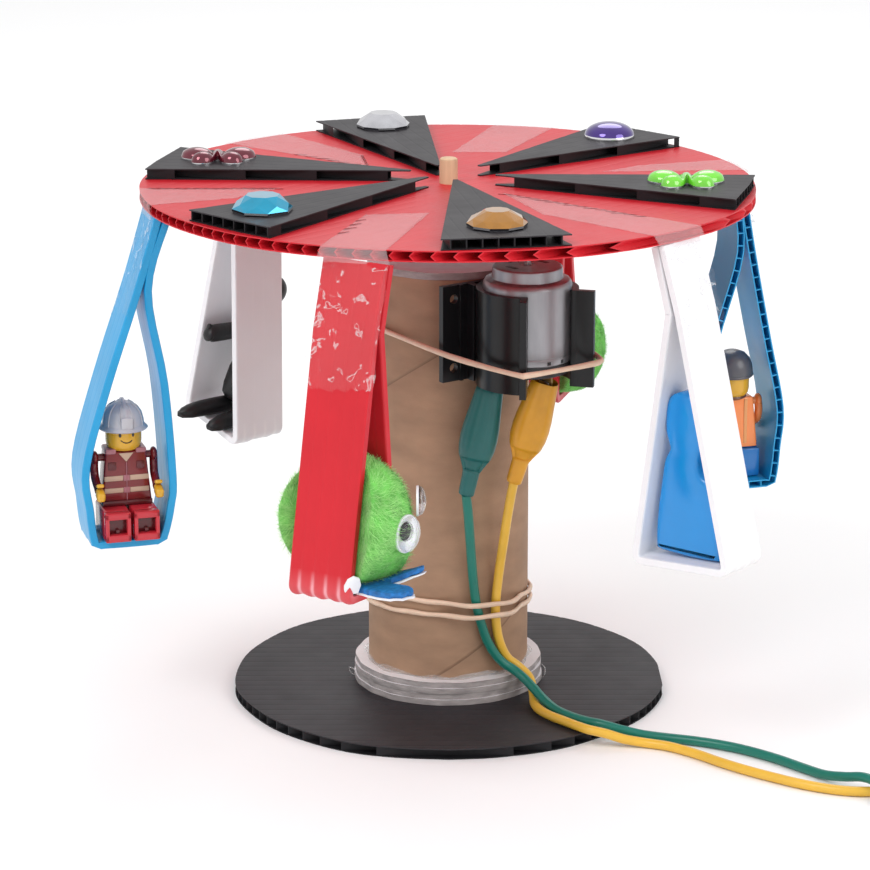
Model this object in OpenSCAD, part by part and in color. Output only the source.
// Table-top motor-driven merry-go-round: a red corrugated disc on a dowel turns on top
// of a cardboard tube, driven by a small motor and a rubber belt, and carries six
// strip swings with toy riders.
// Origin: centre of the base disc's underside. +Z runs up the axle, sizes in mm.

/* [Base and tube] */
// Thickness of the corrugated sheet of the base, the top disc and the wedges
sheet_t = 3; // [2:0.5:5]
// Radius of the base disc
base_r = 61; // [50:0.5:80]
// Radius of the stacked chipboard foot discs
foot_r = 26.5; // [24.5:0.5:34]
// Thickness of one chipboard disc
chip_t = 1.65; // [1:0.05:2.5]
// Number of chipboard discs under the tube
foot_count = 4; // [2:1:6]
// Outer radius of the cardboard tube
tube_r = 22.4; // [18:0.1:26]
// Wall of the cardboard tube
tube_wall = 1.6; // [1:0.1:3]
// Length of the cardboard tube
tube_h = 113.6; // [95:0.1:140]

/* [Axle and drive] */
// Radius of the dowel axle
axle_r = 2.5; // [2:0.1:4]
// Height of the dowel's free end above the top disc
axle_out = 7; // [3:0.5:15]
// Running clearance of the dowel in its bearing discs, on the radius
run_gap = 0.05; // [0.02:0.01:0.1]
// Length of the plastic collar between the bearing and the driven pulley
collar_h = 7.1; // [4:0.1:12]
// Groove radius of the driven pulley
drive_r = 16.5; // [12:0.5:20]
// Groove radius of the motor pulley
pinion_r = 4; // [3:0.1:6]
// Thickness of one pulley layer
pulley_t = 3; // [2:0.5:4]
// Wall of the rubber belt
belt_t = 1; // [0.6:0.1:2]

/* [Top disc] */
// Radius of the top disc
top_r = 84.5; // [75:0.5:100]
// Distance of a wedge's tip from the axle
wedge_in = 10; // [6:0.5:14]
// Distance of a wedge's wide end from the axle
wedge_out = 82; // [60:0.5:88]
// Width of a wedge's wide end
wedge_w = 33; // [20:1:40]
// Distance of a gem's middle from the axle
gem_at = 68; // [50:0.5:74]

/* [Swings] */
// Width of a swing's strip
strip_w = 16; // [10:0.5:20]
// Thickness of a swing's strip
strip_t = 2.2; // [1.2:0.1:2.6]

/* [Motor] */
// Direction of the motor around the tube, in degrees
motor_az = -55; // [-80:1:-40]
// Radius of the motor can
can_r = 12; // [10:0.1:14]
// Height of the motor can up to its shoulder
can_h = 22.3; // [18:0.1:30]
// Depth of the can's shoulder below the top disc
motor_drop = 16.4; // [14.5:0.1:20]
// Radius of the motor shaft
shaft_r = 1; // [0.75:0.05:1.6]
// Height of the motor holder
holder_h = 26.5; // [15:0.5:30]
// Wall of the motor holder
holder_t = 1.8; // [1.2:0.1:3]

/* [Leads] */
// Radius of a lead
lead_r = 1.3; // [1:0.05:1.6]
// Length of a clip's boot
boot_l = 29; // [24:0.5:36]
// Largest radius of a clip's boot
boot_r = 5.2; // [4.5:0.1:6]

/* [Hidden] */
$fn = 64;

// small gaps between pieces
glue_gap = 0.02; // pieces glued or pressed together in one body
soft_gap = 0.3; // a soft piece and its neighbour
film_t = 0.1; // clear tape
washer_t = 1;
turn_gap = 0.1; // under the turning collar

// heights
foot_top = sheet_t + foot_count * chip_t;
tube_top = foot_top + tube_h;
cap_t = 2;
cap_top = tube_top + cap_t;
collar_z = cap_top + washer_t + turn_gap;
pulley_z = collar_z + collar_h;
deck_z = pulley_z + 3 * pulley_t; // underside of the top disc
deck_top = deck_z + sheet_t;
wedge_top = deck_top + sheet_t;
lower_z = foot_top + 60; // lower bearing disc inside the tube
axle_low = lower_z - 6;
groove_z = pulley_z + 1.5 * pulley_t;

// motor
plate_gap = 0.1;
seat_gap = 0.3; // from the holder's plate to the can
motor_d = tube_r + plate_gap + holder_t + seat_gap + can_r;
motor_x = motor_d * cos(motor_az);
motor_y = motor_d * sin(motor_az);
shoulder_z = deck_z - motor_drop;
can_z = shoulder_z - can_h;
boss_h = 3.4;
boss_r = 9.5;
end_cap_h = 3.2;
end_z = can_z - end_cap_h;
holder_z = shoulder_z - holder_h - 2.7;
shaft_top = deck_z - 1;
plate_w = 38;

// swings: angle of each one around the disc, counted anticlockwise
swing_az = [196, 134, 253, 71, 316, 16];
// turn of each loop about its own upright, where it is taped on askew
swing_yaw = [0, 0, -15, 0, 5, 0];
hinge_x = top_r; // the tape folds at the lower edge of the rim
// inner face of each strip, from the outer leg's end round the seat to the inner
// leg's end: [outwards from the rim, up from the disc's underside]
loop_round = [[-2.8, -0.75], [3.1, -20], [12, -46], [18.3, -68], [17.6, -80],
  [16.6, -88.2], [16, -88.8], [0, -88.8], [-0.6, -88.2], [-2.6, -80], [-3.2, -72],
  [-1.4, -46], [2.5, -20], [-3, -0.75]];
loop_upright = [[-2.8, -0.75], [0.6, -20], [6, -46], [10.3, -66], [9.7, -77.2],
  [8.7, -86.4], [8.1, -87], [-7.9, -87], [-8.5, -86.4], [-10.4, -78.2], [-10.9, -68],
  [-7.6, -46], [-0.6, -20], [-3, -0.75]];
loop_tilted = [[-4.4, -0.75], [-0.8, -18], [15.4, -77], [15.1, -77.6], [-3.4, -84.3],
  [-3.8, -83.8], [-4.4, -18], [-4.6, -0.75]];
loop_front = [[-2.8, -0.75], [2.2, -18], [14.6, -83.2], [14.2, -83.8], [-4, -84.6],
  [-4.4, -84], [1.6, -18], [-3, -0.75]];
loop_rear = [[-2.8, -0.75], [2.6, -18], [15.6, -76], [15.2, -76.6], [-4, -77.4],
  [-4.4, -76.8], [1.9, -18], [-3, -0.75]];
loop_wide = [[-2.8, -0.75], [2.6, -18], [18.8, -82.9], [18.4, -83.5], [-7, -85.1],
  [-7.4, -84.5], [1.8, -18], [-3, -0.75]];
loops = [loop_round, loop_tilted, loop_front, loop_rear, loop_wide, loop_upright];
// two strips are cut wider; one sits to the side of its hinge's middle
strip_more = [0, 2, 2.6, 0, 0, 0];
strip_aside = [0, 1, 0, 0, 0, 0];
round_seat = [7.6, -88.8]; // middle of the seat of a round loop
upright_seat = [-0.4, -87];
wide_seat = [5.7, -84.3];
front_seat = [5.1, -84.2];
tilted_seat = [4.9, -81.3];

// leads: routes of the stretches that are not coiled, [x, y, z]
green_route = [[4.7, -29, 65], [5.3, -27.6, 59], [5.8, -26.3, 52], [6.3, -25.2, 45],
  [6.8, -24, 38.5], [7.6, -23.1, 32], [8.7, -22.6, 27], [10.5, -21.8, 21],
  [12.8, -21.2, 16.5], [15.4, -20.8, 13.4], [18.2, -21, 11.6], [21, -23, 9.8],
  [23.6, -26.2, 8], [26.2, -30, 6.2], [29.4, -34.6, 4.9], [33.4, -39.2, 4.5],
  [37.6, -43, 4.5], [41.4, -45.2, 4.5], [46.6, -46.4, 3.4], [52.5, -46.6, 2],
  [58.5, -47.6, 1.5], [65, -49.4, 1.4], [71.5, -52, 1.4], [77.5, -55.3, 1.4],
  [83.3, -59.6, 1.4], [88.8, -64.6, 1.4], [94, -70.2, 1.4], [99.2, -75.8, 1.6],
  [104, -80.6, 2.9], [108, -84.4, 4.3], [111, -88, 4.5], [113.2, -92, 3.5],
  [114.8, -97, 1.9], [115.5, -103.5, 1.4]];
yellow_route = [[17.7, -28.8, 68.6], [16.9, -27, 63.5], [16, -25.2, 57],
  [15.2, -23.6, 50.5], [14.4, -21.8, 44], [13.7, -20.6, 38], [13.1, -20.5, 31.5],
  [13.2, -20.4, 25.5], [14.2, -19.8, 19.5], [16.4, -18.6, 14.4], [19.4, -17.8, 11.6],
  [22.6, -19.2, 8.6], [23.6, -23.2, 5.4], [23.8, -28.6, 4.5], [25, -33.8, 4.5],
  [27.8, -38.6, 4.5], [31.6, -43, 4.5], [35.2, -47, 4.5], [38, -49.6, 4.5],
  [42.6, -50.8, 3.8], [47.4, -51.2, 2.4], [53, -51.6, 1.5], [59.5, -54.2, 1.4],
  [66.1, -59.5, 1.4], [72.6, -66.2, 1.4], [79, -72, 1.4], [85.7, -77.2, 1.4],
  [92, -81.6, 1.4], [98.6, -85.1, 1.4], [104.4, -87, 1.4], [110, -87.4, 1.4],
  [116, -86.6, 1.4], [122, -84.8, 1.4], [128, -83, 1.4], [134, -82.5, 1.4]];
coil_mid = 5.5 * 2 * lead_r; // middle of the turns
coil_wide = 2 * lead_r; // half width of the bundle of turns
green_coil_at = [134, -104];
yellow_coil_at = [134, -64];
green_tail = [[134, -122.5, 1.4], [138, -122.5, 1.9], [142.5, -122.5, 3.8],
  [147, -122.5, 5.4]];
yellow_tail = [[152.5, -64, 1.4], [152.5, -60, 1.9], [152.5, -55.5, 3.8],
  [152.5, -51, 5.4]];
// clips: where each boot starts at the lead and where it points
green_clip = [[4.7, -29, 65], [10.9, -29.3, 94]];
yellow_clip = [[17.7, -28.8, 68.6], [25.7, -32.6, 97.1]];
green_far_clip = [[147, -122.5, 5.4], [177, -122.5, 5.4]];
yellow_far_clip = [[152.5, -51, 5.4], [152.5, -21, 5.4]];

// rubber bands: centre lines, closed loops [x, y, z]
holder_band_r = 0.8;
cord_band_r = 0.7;
// the stretch in front of the holder; the rest lies round the back of the tube
holder_front = [[-2.8, -31.6, 105.6], [7, -40.4, 104.6], [18, -49.6, 104],
  [20.6, -50, 104], [29.6, -44.6, 104.1], [38.8, -38.6, 104.3], [40.6, -36, 104.3],
  [40.4, -33.2, 104.3], [35.8, -20.6, 105], [31.2, -8, 105.8]];
holder_back = [30, 222]; // angles where it lies on the tube
holder_route = concat(holder_front, [for (k = [0:16])
  let (a = holder_back[0] + (holder_back[1] - holder_back[0]) * k / 16,
    r = tube_r + holder_band_r + 0.35)
  [r * cos(a), r * sin(a), 107.6 + 1.6 * sin(180 * k / 16)]]);

// ---------- helpers ----------
function unit(v) = v / norm(v);
function left_of(d) = [-d[1], d[0]];

// outline of a strip of thickness t whose inner face follows the open path q
function side_of(q, t, i) = let (n = len(q) - 1,
    a = i == 0 ? unit(q[1] - q[0]) : unit(q[i] - q[i - 1]),
    b = i == n ? a : unit(q[i + 1] - q[i]))
  q[i] + t * (left_of(a) + left_of(b)) / (1 + a * b);
function strip_outline(q, t) =
  concat(q, [for (i = [len(q) - 1:-1:0]) side_of(q, t, i)]);

// tube that follows the points p; the ring count is one per point
function ahead(p, i, first, last) = i == 0 ? first
  : i == len(p) - 1 ? last
  : unit(unit(p[i + 1] - p[i]) + unit(p[i] - p[i - 1]));
function ahead_closed(p, i) = let (n = len(p))
  unit(unit(p[(i + 1) % n] - p[i]) + unit(p[i] - p[(i + n - 1) % n]));
function side_list(t, i, s) = i == len(t) ? []
  : let (n = unit(s - (s * t[i]) * t[i])) concat([n], side_list(t, i + 1, n));
module skin(rings, sides, closed) {
  n = len(rings);
  last = closed ? n - 1 : n - 2;
  walls = [for (k = [0:last], j = [0:sides - 1])
    [k * sides + j, ((k + 1) % n) * sides + j,
      ((k + 1) % n) * sides + (j + 1) % sides, k * sides + (j + 1) % sides]];
  ends = closed ? [] : [[for (j = [0:sides - 1]) j],
    [for (j = [sides - 1:-1:0]) (n - 1) * sides + j]];
  polyhedron([for (ring = rings) each ring], concat(walls, ends));
}
module lead_along(p, r, first, last, sides = 8) {
  t = [for (i = [0:len(p) - 1]) ahead(p, i, first, last)];
  s = side_list(t, 0, [1, 0.2, 0.1]);
  skin([for (i = [0:len(p) - 1]) [for (j = [0:sides - 1])
    let (a = 360 * j / sides) p[i] + r * (cos(a) * s[i] + sin(a) * cross(t[i], s[i]))]],
    sides, false);
}
module band_along(p, r, sides = 6) {
  skin([for (i = [0:len(p) - 1]) let (t = ahead_closed(p, i),
      s = unit(cross(t, [0, 0, 1]))) [for (j = [0:sides - 1])
    let (a = 360 * j / sides) p[i] + r * (cos(a) * s + sin(a) * cross(t, s))]],
    sides, true);
}
// places children with +Z from a towards b
module along(ends) {
  d = ends[1] - ends[0];
  translate(ends[0]) rotate([0, acos(d[2] / norm(d)), atan2(d[1], d[0])]) children();
}
module at_motor(z) translate([motor_x, motor_y, z]) children();
// children in a swing's own frame: x outwards from the rim, y onwards, z up
module on_swing(i) rotate([0, 0, swing_az[i]]) translate([hinge_x, 0, deck_z])
  rotate([0, 0, swing_yaw[i]]) children();
module on_seat(i, seat) on_swing(i) translate([seat[0], 0, seat[1]]) children();

// ---------- stand ----------
module base_disc() color("#1b1b1d") cylinder(r = base_r, h = sheet_t);
module foot_discs() color("#d8d4d0")
  for (k = [0:foot_count - 1])
    translate([0, 0, sheet_t + k * chip_t]) cylinder(r = foot_r, h = chip_t - glue_gap);
module foot_glue() color("#ece9e6") {
  glue_w = 1.4;
  translate([0, 0, foot_top]) rotate_extrude()
    polygon([[tube_r + glue_gap, 0], [tube_r + glue_w, 0], [tube_r + glue_gap, 1]]);
}
module tube() color("#a57a58") translate([0, 0, foot_top]) difference() {
  cylinder(r = tube_r, h = tube_h);
  translate([0, 0, -1]) cylinder(r = tube_r - tube_wall, h = tube_h + 2);
}
module tube_cap() color("#c9c2ba") translate([0, 0, tube_top]) difference() {
  cylinder(r = tube_r, h = cap_t);
  translate([0, 0, -1]) cylinder(r = axle_r + run_gap, h = cap_t + 2);
}
module lower_bearing() color("#b5aca2") translate([0, 0, lower_z]) difference() {
  cylinder(r = tube_r - tube_wall - glue_gap, h = cap_t);
  translate([0, 0, -1]) cylinder(r = axle_r + run_gap, h = cap_t + 2);
}
module thrust_washer() color("white") translate([0, 0, cap_top]) difference() {
  cylinder(r = axle_r + 3.5, h = washer_t);
  translate([0, 0, -1]) cylinder(r = axle_r + run_gap, h = washer_t + 2);
}

// ---------- motor ----------
module motor_can() color("#a7a6aa") at_motor(can_z) difference() {
  union() {
    cylinder(r = can_r, h = can_h - 1.2);
    translate([0, 0, can_h - 1.2]) cylinder(r = can_r - 0.7, h = 1.2);
    cylinder(r = boss_r, h = can_h + boss_h);
  }
  translate([0, 0, 6]) cylinder(r = shaft_r + run_gap, h = can_h + boss_h);
  for (a = [40, 220]) rotate([0, 0, a]) translate([5.4, 0, can_h + boss_h - 0.8])
    linear_extrude(2) square([2, 4.2], center = true);
}
tab_l = 5; // length of a terminal below the end cap
tab_w = 2.6;
tab_t = 0.8;
// a terminal stands where the clip that grips it points to, square to its jaws
module at_tab(ends) {
  d = ends[1] - ends[0];
  rise = (end_z - tab_l / 2 - ends[0][2]) / d[2];
  translate([ends[0][0] + rise * d[0], ends[0][1] + rise * d[1], end_z - tab_l])
    rotate([0, 0, atan2(d[1], d[0])]) translate([0.6, 0, 0]) children();
}
module motor_end_cap() color("#26262a") difference() {
  at_motor(end_z) cylinder(r = can_r - 0.5, h = end_cap_h);
  for (ends = [green_clip, yellow_clip]) at_tab(ends)
    linear_extrude(tab_l + end_cap_h - 1) square([tab_w + 0.1, tab_t + 0.1], center = true);
}
module motor_terminals() color("#c9a24a") for (ends = [green_clip, yellow_clip])
  at_tab(ends) difference() {
    linear_extrude(tab_l + end_cap_h - 1.2) square([tab_w, tab_t], center = true);
    translate([0, 2, 1.8]) rotate([90, 0, 0]) cylinder(r = 0.6, h = 4);
  }
module motor_shaft() color("#d0d0d4")
  at_motor(can_z + 7) cylinder(r = shaft_r, h = shaft_top - can_z - 7);
module motor_pulley() color("#e8e6e0") {
  low = groove_z - 3.2;
  at_motor(low) difference() {
    rotate_extrude() polygon([[0, 0], [pinion_r + 1.8, 0], [pinion_r + 1.8, 1.4],
      [pinion_r, 2], [pinion_r, 4.4], [pinion_r + 1.8, 5], [pinion_r + 1.8, 6.2],
      [0, 6.2]]);
    translate([0, 0, -1]) cylinder(r = shaft_r + glue_gap, h = 9);
  }
}
// clip of the motor: a back plate on the tube and two arms that spring round the can
module motor_holder() color("#121214") {
  arm_in = can_r + run_gap;
  arm_out = arm_in + holder_t;
  lip = 4.6;
  mouth = 36; // half angle of the opening
  plate_x = tube_r + plate_gap - motor_d;
  hole_y = plate_w / 2 - 3.6;
  at_motor(holder_z) rotate([0, 0, motor_az]) difference() {
    linear_extrude(holder_h) union() {
      difference() {
        circle(arm_out);
        circle(arm_in);
        polygon([[0, 0], [40 * cos(mouth), -40 * sin(mouth)], [40, 0],
          [40 * cos(mouth), 40 * sin(mouth)]]);
      }
      for (s = [-1, 1]) {
        rotate([0, 0, s * (mouth + 4)]) translate([arm_in, -holder_t / 2])
          square([lip + holder_t, holder_t]);
        translate([plate_x, s * 10 - 1]) square([4.9, 2]);
        translate([plate_x, s * 13.2 - 0.5]) square([holder_t + 0.8, 1]);
      }
      translate([plate_x, -plate_w / 2]) square([holder_t, plate_w]);
    }
    for (s = [-1, 1], z = [holder_h / 2 - 9.5, holder_h / 2 + 9.5])
      translate([plate_x - 2, s * hole_y, z]) rotate([0, 90, 0]) cylinder(r = 1.3, h = 6);
  }
}
module holder_band() color("#cda58a") band_along(holder_route, holder_band_r);
// two turns of band that hold the leads against the tube
lead_az = -64; // middle of the two leads
lead_half = 9;
wrap = 30; // angle over which the band leaves the tube to pass the leads
lift = 2 * lead_r + 0.6;
function beside(d) = d < lead_half ? 1 : (d > lead_half + wrap ? 0 : 1 - (d - lead_half) / wrap);
module cord_band() color("#e6d3bd") {
  for (turn = [[30, 2.2, 200], [26.8, 1.7, 190]]) band_along(
    [for (a = [-180:12:168]) let (r = tube_r + cord_band_r + 0.25 + lift * beside(abs(a - lead_az)))
      [r * cos(a), r * sin(a), turn[0] + turn[1] * sin(a + turn[2])]], cord_band_r);
}
// belt: two round ends joined by the outer tangents
function arc(r, x, from, to, steps) = [for (k = [0:steps])
  let (a = from + (to - from) * k / steps) [x + r * cos(a), r * sin(a)]];
module belt_shape(r1, r2) {
  lean = acos((r1 - r2) / motor_d);
  polygon(concat(arc(r1, 0, lean, 360 - lean, 40), arc(r2, motor_d, -lean, lean, 16)));
}
module drive_belt() color("#e0c9ae") {
  belt_h = pulley_t - 0.8;
  translate([0, 0, groove_z - belt_h / 2]) rotate([0, 0, motor_az])
    linear_extrude(belt_h) difference() {
      belt_shape(drive_r + soft_gap + belt_t, pinion_r + soft_gap + belt_t);
      belt_shape(drive_r + soft_gap, pinion_r + soft_gap);
    }
}

// ---------- leads ----------
jaw_w = 3;
jaw_h = 2.6;
jaw_out = 5.2; // length of the jaws outside the boot
jaw_short = 1.8; // the same where the boot is pushed up to the motor
jaw_in = 8;
module clip_boot(ends, tint) color(tint) along(ends) difference() {
  rotate_extrude() polygon([[0, 0], [2.1, 0], [2.3, 6], [2.9, 7.4], [4.3, 11],
    [5, 13.6], [boot_r, 16.4], [5, 19], [4.2, 24], [3.7, boot_l], [0, boot_l]]);
  translate([-jaw_w / 2 - 0.1, -jaw_h / 2 - 0.1, boot_l - jaw_in])
    cube([jaw_w + 0.2, jaw_h + 0.2, jaw_in + 1]);
  translate([0, 0, boot_l - 4.5]) cylinder(r = 3, h = 6);
}
// the two toothed jaws of a clip
module clip_jaws(ends, out = jaw_out) along(ends) translate([0, 0, boot_l - jaw_in + 0.2])
  for (s = [-1, 1]) rotate([0, 90, 0]) translate([0, 0, -jaw_w / 2])
    linear_extrude(jaw_w) polygon([[0, s * 1.3], [0, s * 0.2], [-jaw_in, s * 0.55],
      for (k = [0:floor((out - 0.3) / 1.4) - 1]) each [[-jaw_in - k * 1.4, s * 0.55],
        [-jaw_in - k * 1.4 - 0.7, s * 0.95]],
      [-jaw_in - out, s * 0.45], [-jaw_in - out, s * 1.3]]);
module green_boot() clip_boot(green_clip, "#1f7a70");
module yellow_boot() clip_boot(yellow_clip, "#d9951b");
module green_far_boot() clip_boot(green_far_clip, "#1f7a70");
module yellow_far_boot() clip_boot(yellow_far_clip, "#d9951b");
module near_jaws() color("silver") {
  clip_jaws(green_clip);
  clip_jaws(yellow_clip, jaw_short);
}
module far_jaws() color("silver") {
  clip_jaws(green_far_clip);
  clip_jaws(yellow_far_clip);
}
function out_of(ends) = unit(ends[0] - ends[1]); // from a boot into its lead
module green_cord() color("#0b7a68") {
  lead_along(green_route, lead_r, out_of(green_clip), [0, -1, 0]);
  lead_along(green_tail, lead_r, [1, 0, 0], -out_of(green_far_clip));
}
module yellow_cord() color("#e3aa28") {
  lead_along(yellow_route, lead_r, out_of(yellow_clip), [1, 0, 0]);
  lead_along(yellow_tail, lead_r, [0, 1, 0], -out_of(yellow_far_clip));
}
module coil_at(p) translate([p[0], p[1], coil_wide + 0.1]) rotate_extrude()
  translate([coil_mid, 0]) circle(coil_wide);
module green_coil() color("#0b7a68") coil_at(green_coil_at);
module yellow_coil() color("#e3aa28") coil_at(yellow_coil_at);

// ---------- carousel ----------
module top_disc() color("#d8202f") translate([0, 0, deck_z]) difference() {
  cylinder(r = top_r, h = sheet_t);
  translate([0, 0, -1]) cylinder(r = axle_r + glue_gap, h = sheet_t + 2);
}
wedge_az = [47, 106, 166, 226, 280, 346];
module wedges() color("#2a2a2c") for (a = wedge_az) rotate([0, 0, a])
  translate([0, 0, deck_top]) linear_extrude(sheet_t)
    polygon([[wedge_in, 0], [wedge_out, -wedge_w / 2], [wedge_out, wedge_w / 2]]);
module round_gem(a, r, h) rotate([0, 0, a]) translate([gem_at, 0, wedge_top])
  rotate_extrude() polygon([[0, 0], [r, 0], [r, 0.8], [r * 0.78, h * 0.72],
    [r * 0.45, h], [0, h]]);
module round_gems() color("#6fa8c8") {
  round_gem(wedge_az[0], 7.2, 4.2);
  round_gem(wedge_az[1], 7.8, 4.2);
  round_gem(wedge_az[3], 8.1, 4.6);
  round_gem(wedge_az[4], 8, 4.4);
}
// four wings and a body, wings paired across the wedge
module butterfly_gem(a) rotate([0, 0, a]) translate([gem_at - 2, 0, wedge_top]) {
  for (x = [-1, 1], y = [-1, 1]) translate([x * 6, y * 3.6, 0]) rotate_extrude()
    polygon([[0, 0], [4.6, 0], [4.6, 1], [3.4, 2.8], [1.6, 3.4], [0, 3.4]]);
  linear_extrude(2.2) square([12, 6], center = true);
}
module butterfly_gems() color("#8fd63c") {
  butterfly_gem(wedge_az[2]);
  butterfly_gem(wedge_az[5]);
}
// clear tape on the disc at each swing, clear of the wedges beside it
module hinge_tapes() color("#f0a0a8") for (a = swing_az) rotate([0, 0, a])
  translate([0, 0, deck_top]) linear_extrude(film_t)
    polygon([[26, -3.4], [70, -12], [top_r - 1.6, -12], [top_r - 1.6, 12], [70, 12],
      [26, 3.4]]);
module axle_dowel() color("#dcb68c") translate([0, 0, axle_low])
  cylinder(r = axle_r, h = deck_top + axle_out - axle_low);
module driven_pulley() color("#c8a273") translate([0, 0, pulley_z]) difference() {
  union() {
    cylinder(r = drive_r + 3.5, h = pulley_t);
    cylinder(r = drive_r, h = 3 * pulley_t);
    translate([0, 0, 2 * pulley_t]) cylinder(r = drive_r + 3.5, h = pulley_t);
  }
  translate([0, 0, -1]) cylinder(r = axle_r + glue_gap, h = 3 * pulley_t + 2);
}
module axle_collar() color("#f2f0ea") translate([0, 0, collar_z]) difference() {
  cylinder(r = axle_r + 1.8, h = collar_h);
  translate([0, 0, -1]) cylinder(r = axle_r + glue_gap, h = collar_h + 2);
}

// ---------- swings ----------
module strip_loop(i, tint) color(tint) on_swing(i) translate([0, strip_aside[i], 0])
  rotate([90, 0, 0]) linear_extrude(strip_w + strip_more[i], center = true)
    polygon(strip_outline(loops[i], strip_t));
module blue_swing_a() strip_loop(0, "#1f93d6");
module white_swing_b() strip_loop(1, "#efeaf0");
module red_swing_c() strip_loop(2, "#d8202f");
module red_swing_d() strip_loop(3, "#d8202f");
module white_swing_e() strip_loop(4, "#f4f4f8");
module blue_swing_f() strip_loop(5, "#1f7fd0");

// ---------- toy riders ----------
// x sideways, y forwards, z up from the seat
leg_w = 7;
leg_gap = 0.9;
leg_top = 8.4;
torso_h = 15;
shoulder_z_up = 21.4;
neck_r = 1.9;
pin_r = 1.1;
module toy_torso() difference() {
  union() {
    translate([0, 3.4, 0]) rotate([90, 0, 0]) linear_extrude(6.8)
      polygon([[-7, leg_top + 0.05], [7, leg_top + 0.05], [5.5, leg_top + torso_h],
        [-5.5, leg_top + torso_h]]);
    translate([0, 0, leg_top + torso_h - 0.1]) cylinder(r = neck_r, h = 2.6);
  }
  translate([-10, 0, shoulder_z_up]) rotate([0, 90, 0])
    cylinder(r = pin_r + run_gap, h = 20);
}
module toy_legs() for (s = [-1, 1])
  translate([s * (leg_gap / 2 + leg_w / 2), 0, 0.05]) difference() {
    translate([-leg_w / 2, -4.4, 0]) cube([leg_w, 15.4, leg_top]);
    translate([-2, 8.4, 2.2]) cube([4, 4, 4]);
  }
module toy_head() translate([0, 0, leg_top + torso_h + 0.1]) difference() {
  rotate_extrude() polygon([[0, 0], [3.4, 0], [4.5, 0.9], [4.9, 2.6], [4.9, 6],
    [4.5, 7.8], [3.4, 8.8], [0, 8.8]]);
  translate([0, 0, -1]) cylinder(r = neck_r + run_gap, h = 3.8);
}
// arm bent at the elbow, with a shoulder pin and a round hand
module bar(p, q, r1, r2) {
  n = left_of(unit(q - p));
  translate(p) circle(r1);
  translate(q) circle(r2);
  polygon([p + r1 * n, q + r2 * n, q - r2 * n, p - r1 * n]);
}
module toy_arm(s) {
  arm_x = 7.15; // inner side of the arm
  arm_w = 2.3;
  translate([s > 0 ? arm_x : -arm_x - arm_w, 0, 0]) rotate([90, 0, 90])
    linear_extrude(arm_w) union() {
      bar([0, shoulder_z_up], [0.6, 16.4], 2.1, 1.9);
      bar([0.6, 16.4], [6, 14.4], 1.9, 1.5);
      translate([8, 14.2]) circle(1.9);
    }
  pin_in = 2.8; // the pin ends inside the torso
  translate([s > 0 ? pin_in : -arm_x - 0.2, 0, shoulder_z_up]) rotate([0, 90, 0])
    cylinder(r = pin_r, h = arm_x + 0.2 - pin_in);
}
hat_z = leg_top + torso_h + 5.9;
module toy_helmet() translate([0, 0, hat_z]) difference() {
  union() {
    rotate_extrude() polygon([[0, 0], [6.6, 0], [6.6, 0.8], [5.9, 1.2], [5.7, 3.6],
      [4.4, 6.4], [2.2, 7.7], [0, 8]]);
    translate([0, 0, 5.5]) rotate([90, 0, 90]) linear_extrude(1.2, center = true)
      polygon([[-4.4, 0], [4.4, 0], [3.4, 3], [-2, 3.4]]);
  }
  translate([0, 0, -1]) cylinder(r = 4.95, h = 4);
}
module toy_cap() translate([0, 0, hat_z]) difference() {
  rotate_extrude() polygon([[0, 0], [5.8, 0], [5.9, 1.4], [5.6, 4.2], [4.2, 6.4],
    [2, 7.4], [0, 7.6]]);
  translate([0, 0, -1]) cylinder(r = 4.95, h = 4);
}
module on_seat_a() on_seat(0, round_seat) children();
module on_seat_f() on_seat(5, upright_seat) children();
module firefighter_torso() color("#8e1a22") on_seat_a() toy_torso();
module firefighter_legs() color("#c3272f") on_seat_a() toy_legs();
module firefighter_head() color("#f0c419") on_seat_a() toy_head();
module firefighter_helmet() color("#d9dbe2") on_seat_a() toy_helmet();
module firefighter_arm_out() color("#8e1a22") on_seat_a() toy_arm(1);
module firefighter_arm_in() color("#8e1a22") on_seat_a() toy_arm(-1);
module worker_torso() color("#f0813a") on_seat_f() toy_torso();
module worker_legs() color("#1f66b0") on_seat_f() toy_legs();
module worker_head() color("#f0c419") on_seat_f() toy_head();
module worker_cap() color("#55565c") on_seat_f() toy_cap();
module worker_arm_out() color("#f0813a") on_seat_f() toy_arm(1);
module worker_arm_in() color("#f0813a") on_seat_f() toy_arm(-1);

// doll that leans back: feet forwards on the tilted seat, head behind the strip
module black_doll() color("#141414") on_seat(1, tilted_seat) {
  lean = 27;
  rotate([lean, 0, 0]) translate([0, 4, 4.4]) {
    cylinder(r1 = 4.4, r2 = 2.8, h = 31);
    translate([0, 0, 34.4]) sphere(4.4);
    translate([0, -0.5, 22.5]) rotate([-113, 0, 0]) cylinder(r = 2.2, h = 21);
  }
  for (s = [-1, 1]) translate([s * 3.4 - 2.4, -2, 1.25 + s * 1.25])
    cube([4.8, 17.5 + 2.5 * s, 3.4]);
}
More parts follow.
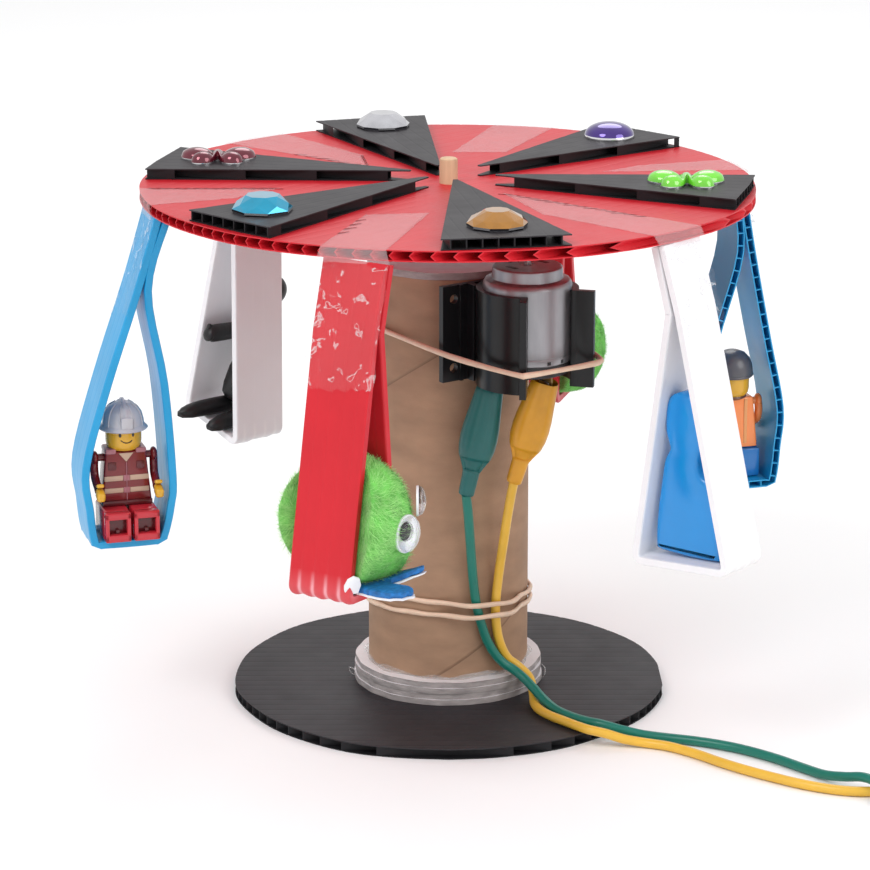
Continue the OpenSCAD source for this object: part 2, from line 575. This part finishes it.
// soft balls pressed between the legs of their swings; at is the ball's middle, and
// the ball is flat below the height low and in front of the distance front
module pressed_ball(i, r, at, low, front) on_swing(i) intersection() {
  rotate([90, 0, 0]) linear_extrude(4 * r, center = true)
    polygon([for (k = [1:len(loops[i]) - 2]) side_of(loops[i], -soft_gap, k)]);
  translate(at) sphere(r);
  translate([at[0] - 2 * r, front - 4 * r, low]) cube(4 * r);
}
pom_r = 18;
module pompom_c() color("#7ed34c")
  pressed_ball(2, pom_r, [5.3, 0.8, -67.2], front_seat[1] + 2.8, 17.3);
module pompom_d() color("#7ed34c")
  pressed_ball(3, pom_r - 2, [6, -3.2, -64.8], -100, 40);
module googly(r) rotate([-90, 0, 0]) rotate_extrude()
  polygon([[0, 0], [r, 0], [r, 0.8], [0.8 * r, 2.2], [0.4 * r, 3], [0, 3.1]]);
module pompom_eyes() color("#f6f6f6") on_swing(2) {
  translate([2.6, 17.4, -68.8]) googly(5);
  translate([-4.8, 15.95, -62.2]) rotate([0, 0, 32]) googly(4);
}
module pompom_feet() color("#1668ae") on_seat(2, front_seat) translate([0, 0, 0.6])
  linear_extrude(1.9) polygon([[-6, -12], [6, -12], [7.4, 14], [8, 22], [3, 24],
    [0.6, 15], [-0.6, 15], [-3, 19], [-8, 18], [-7.4, 8]]);
// flat glossy figure that fills the loop, seen from its back
module blue_figure() color("#1282d2") on_seat(4, wide_seat)
  translate([0, 3.4, 0.9]) rotate([90, 0, 0]) linear_extrude(8)
    polygon([[-9.6, 0.2], [9.8, 0.9], [9.6, 9], [8.4, 18], [6.8, 22], [3.4, 24.6],
      [2.6, 27.4], [4.2, 31], [3, 39], [0.8, 43.2], [-4.2, 43.6], [-6.2, 41],
      [-7.6, 32], [-7, 28], [-8.6, 24.4], [-9.8, 14], [-10.6, 5]]);
module figure_tag() color("#f2f2f2") on_seat(4, wide_seat)
  translate([9.9, -3.2, 3.2]) cube([0.9, 5, 6]);

base_disc();
foot_discs();
foot_glue();
tube();
tube_cap();
lower_bearing();
thrust_washer();
motor_can();
motor_end_cap();
motor_terminals();
motor_holder();
holder_band();
cord_band();
drive_belt();
green_boot();
yellow_boot();
near_jaws();
green_cord();
green_coil();
green_far_boot();
yellow_cord();
yellow_coil();
yellow_far_boot();
far_jaws();
top_disc();
wedges();
round_gems();
butterfly_gems();
hinge_tapes();
axle_dowel();
driven_pulley();
axle_collar();
motor_shaft();
motor_pulley();
blue_swing_a();
white_swing_b();
red_swing_c();
red_swing_d();
white_swing_e();
blue_swing_f();
firefighter_torso();
firefighter_legs();
firefighter_head();
firefighter_helmet();
firefighter_arm_out();
firefighter_arm_in();
worker_torso();
worker_legs();
worker_head();
worker_cap();
worker_arm_out();
worker_arm_in();
black_doll();
pompom_c();
pompom_eyes();
pompom_feet();
pompom_d();
blue_figure();
figure_tag();
